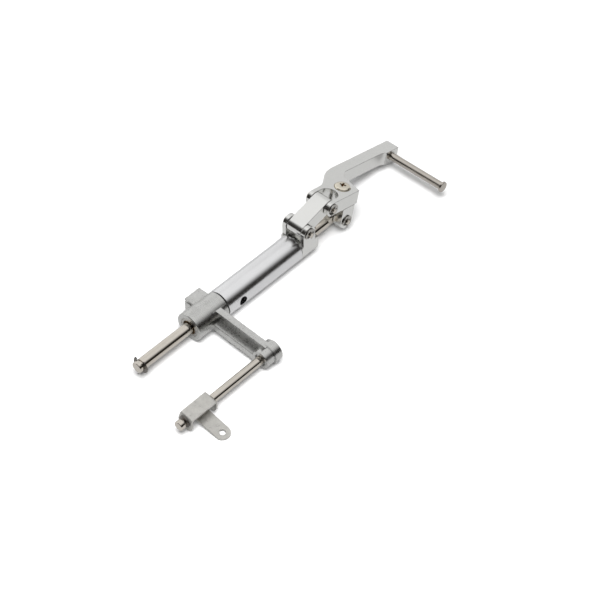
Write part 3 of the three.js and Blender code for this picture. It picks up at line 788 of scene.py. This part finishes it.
# ---- Arm plate --------------------------------------------------------------------------
# One milled plate: a forked head, a cranked arm, and a thicker end block that holds the
# long pin. It is made flat about the head pivot, with U along it and W up, and then tipped.

HEAD_LENGTH = 27.1
ARM_LENGTH = 94.8
INNER_Y = 11.4
OUTER_Y = 20.6
BLOCK_Y = 9.6
BLOCK_U = 81.4
END_PIN_U = 87.2
END_PIN_W = 0.7
END_BORE_R = 2.95
END_MOUTH_R = 3.75
SCREW_U = 20.5
SINK_R = 6.1
SINK_HOLE_R = 3.3


def bend(*points, steps=24):
    """A Bezier curve: the control points weighted by C(n, k) t^k (1 - t)^(n - k)."""
    control = np.asarray(points, float)
    order = len(control) - 1
    t = np.linspace(0, 1, steps + 1)[:, None]
    weights = [math.comb(order, k) * t ** k * (1 - t) ** (order - k) for k in range(order + 1)]
    return sum(weight * point for weight, point in zip(weights, control))


arm_outline = np.vstack([
    [(-PLATE_HALF, -HALF), (HEAD_LENGTH, -HALF)],
    bend((HEAD_LENGTH + 3.5, 4.6), (HEAD_LENGTH + 5.4, INNER_Y), (HEAD_LENGTH + 12, INNER_Y)),
    bend((BLOCK_U - 6, INNER_Y), (BLOCK_U - 1, INNER_Y), (BLOCK_U, BLOCK_Y), steps=16),
    [(ARM_LENGTH, BLOCK_Y), (ARM_LENGTH, OUTER_Y)],
    bend((34, OUTER_Y), (27, OUTER_Y), (21.5, 18.4), (17.5, 14.6), steps=20)[:-1],
    bend((17.5, 14.6), (12.6, HALF), (6, HALF), steps=20),
    [(-PLATE_HALF, HALF)]])
arm = prism("arm", arm_outline, -PLATE_HALF - 1, PLATE_HALF + 1, "z")
arm_side = np.vstack([
    circle((0, 0), PLATE_HALF, 90, 270, 65),
    [(ARM_LENGTH + 1, -PLATE_HALF), (ARM_LENGTH + 1, PLATE_HALF)]])
combined(arm, "INTERSECT", prism("arm_thickness", arm_side, -30, 30))
slot_outline = np.vstack([
    circle((6, 0), FORK_HALF, -90, 90, 49), [(-9, FORK_HALF), (-9, -FORK_HALF)]])
combined(
    arm, "DIFFERENCE",
    prism("fork_slot", slot_outline, -9, 9, "z"),
    *pin_cutters((0, 0)),
    turned("countersink", [
        (-9, 0), (-9, SINK_HOLE_R), (PLATE_HALF - 2.7, SINK_HOLE_R), (PLATE_HALF + 0.1, SINK_R),
        (PLATE_HALF + 1, SINK_R), (PLATE_HALF + 1, 0)], (SCREW_U, 0, 0), "z"),
    turned("end_pin_bore", [
        (BLOCK_Y - 1, 0), (BLOCK_Y - 1, END_MOUTH_R), (BLOCK_Y + 0.7, END_MOUTH_R),
        (BLOCK_Y + 0.7, END_BORE_R), (17, END_BORE_R), (17, 0)], (END_PIN_U, 0, END_PIN_W), "y"))
broken_edges(arm, MILLED_EDGE)
head_place = {"tip": ARM_PITCH, "pivot": (HEAD_PIVOT[0], 0, HEAD_PIVOT[1])}
placed(arm, **head_place)
arm.data.materials.append(satin_aluminium)
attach(arm, "head")
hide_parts("arm_plate")

# ---- Lug under the head -----------------------------------------------------------------
# A milled block screwed up under the head, its lower end round and slotted for the rod's
# eye. It is made in the arm's flat frame too, where its pivot is at (lug_u, lug_w).

LUG_HALF = 5.9
LUG_ROOF = -10.6
LUG_SLOT_HALF = 2.9
TAPPED_R = 3.1
pivot_run = LUG_PIVOT[0] - HEAD_PIVOT[0]
pivot_drop = LUG_PIVOT[1] - HEAD_PIVOT[1]
lug_u = pivot_run * math.cos(ARM_PITCH) - pivot_drop * math.sin(ARM_PITCH)
lug_w = pivot_run * math.sin(ARM_PITCH) + pivot_drop * math.cos(ARM_PITCH)
lug_side = np.vstack([
    circle((lug_u, lug_w), LUG_HALF, 180, 360, 49),
    [(lug_u + LUG_HALF, -PLATE_HALF - 0.1), (lug_u - LUG_HALF, -PLATE_HALF - 0.1)]])
lug = prism("lug", lug_side, -HALF, HALF)
combined(
    lug, "DIFFERENCE",
    box("eye_slot", (lug_u - 9, -LUG_SLOT_HALF, lug_w - 9), (lug_u + 9, LUG_SLOT_HALF, LUG_ROOF)),
    *pin_cutters((lug_u, lug_w)),
    turned("tapped_hole", [
        (LUG_ROOF - 1, 0), (LUG_ROOF - 1, TAPPED_R), (0, TAPPED_R), (0, 0)], (SCREW_U, 0, 0), "z"))
broken_edges(lug, MILLED_EDGE)
placed(lug, **head_place)
lug.data.materials.append(satin_aluminium)
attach(lug, "head")
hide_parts("lug_block")

# ---- Lug screw --------------------------------------------------------------------------
# Raised countersunk screw in pale yellow zinc, with a cross recess that narrows downwards.
# The walls and the floor of the recess are darker and browner than the dome: painted shade.

SCREW_HEAD_R = 5.6
SHANK_R = 2.95
DOME_TOP = PLATE_HALF + 1.7
RECESS_TURN = 0.35
RECESS_ROWS = ((DOME_TOP + 0.4, 2.5, 0.75), (DOME_TOP - 3.4, 1.2, 0.45))
RECESS_REACH = 2.9
STEEP = 0.7
BLADE_FACES = [(0, 1, 2, 3), (7, 6, 5, 4), (0, 4, 5, 1), (1, 5, 6, 2), (2, 6, 7, 3), (3, 7, 4, 0)]

screw = turned("screw", np.vstack([
    [(LUG_ROOF + 0.2, 0), (LUG_ROOF + 0.2, SHANK_R), (PLATE_HALF - 2.6, SHANK_R),
     (PLATE_HALF - 0.15, SCREW_HEAD_R)],
    bend((PLATE_HALF + 0.3, SCREW_HEAD_R), (PLATE_HALF + 1.35, 5.1), (PLATE_HALF + 1.75, 3.0),
         (DOME_TOP, 0.0), steps=18)]),
    (SCREW_U, 0, 0), "z")
for quarter in (0.0, math.pi / 2):
    corners = [
        (x * reach, y * half, level)
        for level, reach, half in RECESS_ROWS for x, y in ((1, -1), (1, 1), (-1, 1), (-1, -1))]
    blade = new_object("blade", corners, BLADE_FACES)
    turn = Matrix.Rotation(RECESS_TURN + quarter, 4, "Z")
    blade.data.transform(Matrix.Translation((SCREW_U, 0, 0)) @ turn)
    combined(screw, "DIFFERENCE", blade)
evened(screw, angle=28)


def face_values(mesh, name):
    """The named vector of each face of the mesh, one row a face."""
    values = np.empty(len(mesh.polygons) * 3)
    mesh.polygons.foreach_get(name, values)
    return values.reshape(-1, 3)


# The recess faces are picked out here for the painted-shade material below.
face_u, face_v, face_w = face_values(screw.data, "center").T
face_rise = face_values(screw.data, "normal")[:, 2]
near_axis = (np.hypot(face_u - SCREW_U, face_v) < RECESS_REACH) & (face_w > LUG_ROOF + 1)
in_recess = near_axis & ((face_rise < STEEP) | (face_w < PLATE_HALF))
placed(screw, **head_place)
yellow_zinc = metal(
    "yellow_zinc", (0.80, 0.745, 0.63), 0.11, (900, 900, 900), mottle=0.10, marks=0.06,
    lift=0.004, spot=260.0)
# Painted shade: the recess walls and floor get a darker, browner zinc than the dome.
recess_painted_shade = metal(
    "recess_painted_shade", (0.50, 0.35, 0.17), 0.42, (900, 900, 900), mottle=0.3, marks=0.2,
    lift=0.01, spot=600.0)
screw.data.materials.append(yellow_zinc)
screw.data.materials.append(recess_painted_shade)
screw.data.polygons.foreach_set("material_index", in_recess.astype(np.int32))
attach(screw, "head")
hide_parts("lug_screw")

# ---- End pin ----------------------------------------------------------------------------
# Long nickel-plated pin pressed into the end block, with a low round head at its tip. Its
# turning marks run the other way in the row frame, so it has a nickel of its own, which is
# also darker than the rod's nickel: painted shade for the shadowed floor it mirrors.

END_PIN_R = 2.85
END_PIN_HEAD_R = 4
END_PIN_BACK = 16.5
END_PIN_COLLAR = -37.4
END_PIN_TIP = -39

end_pin = turned("long_pin", np.vstack([
    [(END_PIN_BACK, 0)],
    rounded([
        (END_PIN_BACK, 1), (END_PIN_BACK, END_PIN_R), (END_PIN_COLLAR, END_PIN_R),
        (END_PIN_COLLAR, END_PIN_HEAD_R), (END_PIN_TIP, END_PIN_HEAD_R), (END_PIN_TIP, 1)],
        (0, 0.4, 0.3, 0.25, 0.55, 0)),
    [(END_PIN_TIP, 0)]]), (END_PIN_U, 0, END_PIN_W), "y")
placed(end_pin, **head_place)
# Painted shade: the same warm nickel as the rod, made darker for this pin.
warm_nickel_across_painted_shade = metal(
    "warm_nickel_across_painted_shade", (0.58, 0.54, 0.49), 0.12, (3600, 220, 3600), mottle=0.05, marks=0.04,
    rough_change=0.05, lift=0.0008, spot=140.0)
end_pin.data.materials.append(warm_nickel_across_painted_shade)
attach(end_pin, "head")
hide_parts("end_pin")

# ---- Crank shaft ------------------------------------------------------------------------
# Slim nickel-plated shaft fixed in the small boss, with a shallow groove where it leaves
# the boss. Its free end has a reduced neck for the sheet lever, a clip groove and a wider
# end cap.

SHAFT_START = -113.4
LEVER_BACK = -84.4
SHAFT_R = 3
CAP_R = 3.4
NECK_R = 2.6
CLIP_FLOOR_R = 1.9
ROOT_R = 2.65

clip_groove = LEVER_FRONT - 1.2
shoulder = LEVER_BACK + 0.3
root_groove = CRANK_FRONT - 1.6
shaft = turned("shaft", np.vstack([
    [(SHAFT_START, 0)],
    rounded([
        (SHAFT_START, 1), (SHAFT_START, CAP_R), (clip_groove - 1.4, CAP_R), (clip_groove - 1.2, NECK_R),
        (clip_groove, NECK_R), (clip_groove, CLIP_FLOOR_R), (clip_groove + 1, CLIP_FLOOR_R),
        (clip_groove + 1, NECK_R), (shoulder, NECK_R), (shoulder, SHAFT_R), (root_groove, SHAFT_R),
        (root_groove, ROOT_R), (root_groove + 0.8, ROOT_R), (root_groove + 0.8, SHAFT_R),
        (SHAFT_END, SHAFT_R), (SHAFT_END, 1)],
        (0, 0.6, 0.4, 0.1, 0.1, 0.1, 0.1, 0.1, 0.1, 0.2, 0.12, 0.1, 0.1, 0.12, 0.4, 0)),
    [(SHAFT_END, 0)]]), (0, SHAFT_Y, SHAFT_Z), steps=72)
placed(shaft)
shaft.data.materials.append(warm_nickel)
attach(shaft, "body")
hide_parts("crank_shaft")

# ---- Sheet lever ------------------------------------------------------------------------
# One piece of zinc-plated sheet folded round the shaft: a top plate with an ear turned down
# at each end, a back wall, and a strap that returns under the shaft to a rounded tab.

LEVER_DROOP = math.radians(9.4)
SHEET = 1.3
TAB_MIDDLE = -94.4
TAB_LENGTH = 20.2
TAB_R = 5.3
TAB_HOLE_R = 2.1
PLATE_TOP = 4.45
PLATE_SIDE = 5.05
LEVER_EAR_R = 5.9
LEVER_BORE_R = 2.9


def folded(points, radius, steps=10):
    """The outline of a sheet along the path: middle line + n SHEET / 2 on one side and
    middle line - n SHEET / 2 back on the other, where n is the line's unit normal."""
    middle = rounded(points, radius, steps)
    slope = np.gradient(middle, axis=0)
    slope /= np.linalg.norm(slope, axis=1, keepdims=True)
    normal = np.stack([-slope[:, 1], slope[:, 0]], 1) * SHEET / 2
    return np.vstack([middle + normal, (middle - normal)[::-1]])


mid_top = PLATE_TOP - SHEET / 2
front_mid = LEVER_FRONT + SHEET / 2
back_mid = LEVER_BACK - SHEET / 2
channel_path = [(front_mid, -9), (front_mid, mid_top), (back_mid, mid_top), (back_mid, -9)]
channel = prism("lever", folded(channel_path, 1.2), -8, 8)
ear_side = np.vstack([
    circle((0, -2.3), LEVER_EAR_R, 180, 360, 65),
    [(PLATE_SIDE, PLATE_TOP + 1), (-PLATE_SIDE, PLATE_TOP + 1)]])
combined(channel, "INTERSECT", prism("ear_side", ear_side, LEVER_FRONT - 1, LEVER_BACK + 1, "x"))
wall_mid = PLATE_SIDE - SHEET / 2
strap_mid = -3.1 - SHEET / 2
strap_path = [
    (-2, mid_top), (wall_mid, mid_top), (wall_mid, strap_mid), (-TAB_LENGTH - TAB_R - 1, strap_mid)]
strap = prism("strap", folded(strap_path, 1.9), TAB_MIDDLE - TAB_R, TAB_MIDDLE + TAB_R, "x")
tab_plan = np.vstack([
    circle((TAB_MIDDLE, -TAB_LENGTH), TAB_R, 180, 360, 49),
    [(TAB_MIDDLE + TAB_R, 7), (TAB_MIDDLE - TAB_R, 7)]])
combined(strap, "INTERSECT", prism("tab_plan", tab_plan, -9, 9, "z"))
lever = combined(channel, "UNION", strap)
combined(
    lever, "DIFFERENCE",
    prism("shaft_hole", circle((0, 0), LEVER_BORE_R), LEVER_FRONT - 2, LEVER_BACK + 2, "x"),
    prism("tab_hole", circle((TAB_MIDDLE, -TAB_LENGTH), TAB_HOLE_R), -9, 0, "z"))
broken_edges(lever, 0.16, angle=38)
placed(lever, tip=LEVER_DROOP, pivot=(0, SHAFT_Y, SHAFT_Z), about="X")
zinc_sheet = metal(
    "zinc_sheet", (0.54, 0.53, 0.50), 0.34, (260, 260, 260), mottle=0.17, marks=0.08,
    rough_change=0.14, lift=0.004, spot=280.0, metallic=0.78)
lever.data.materials.append(zinc_sheet)
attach(lever, "lever")
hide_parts("tab_lever")
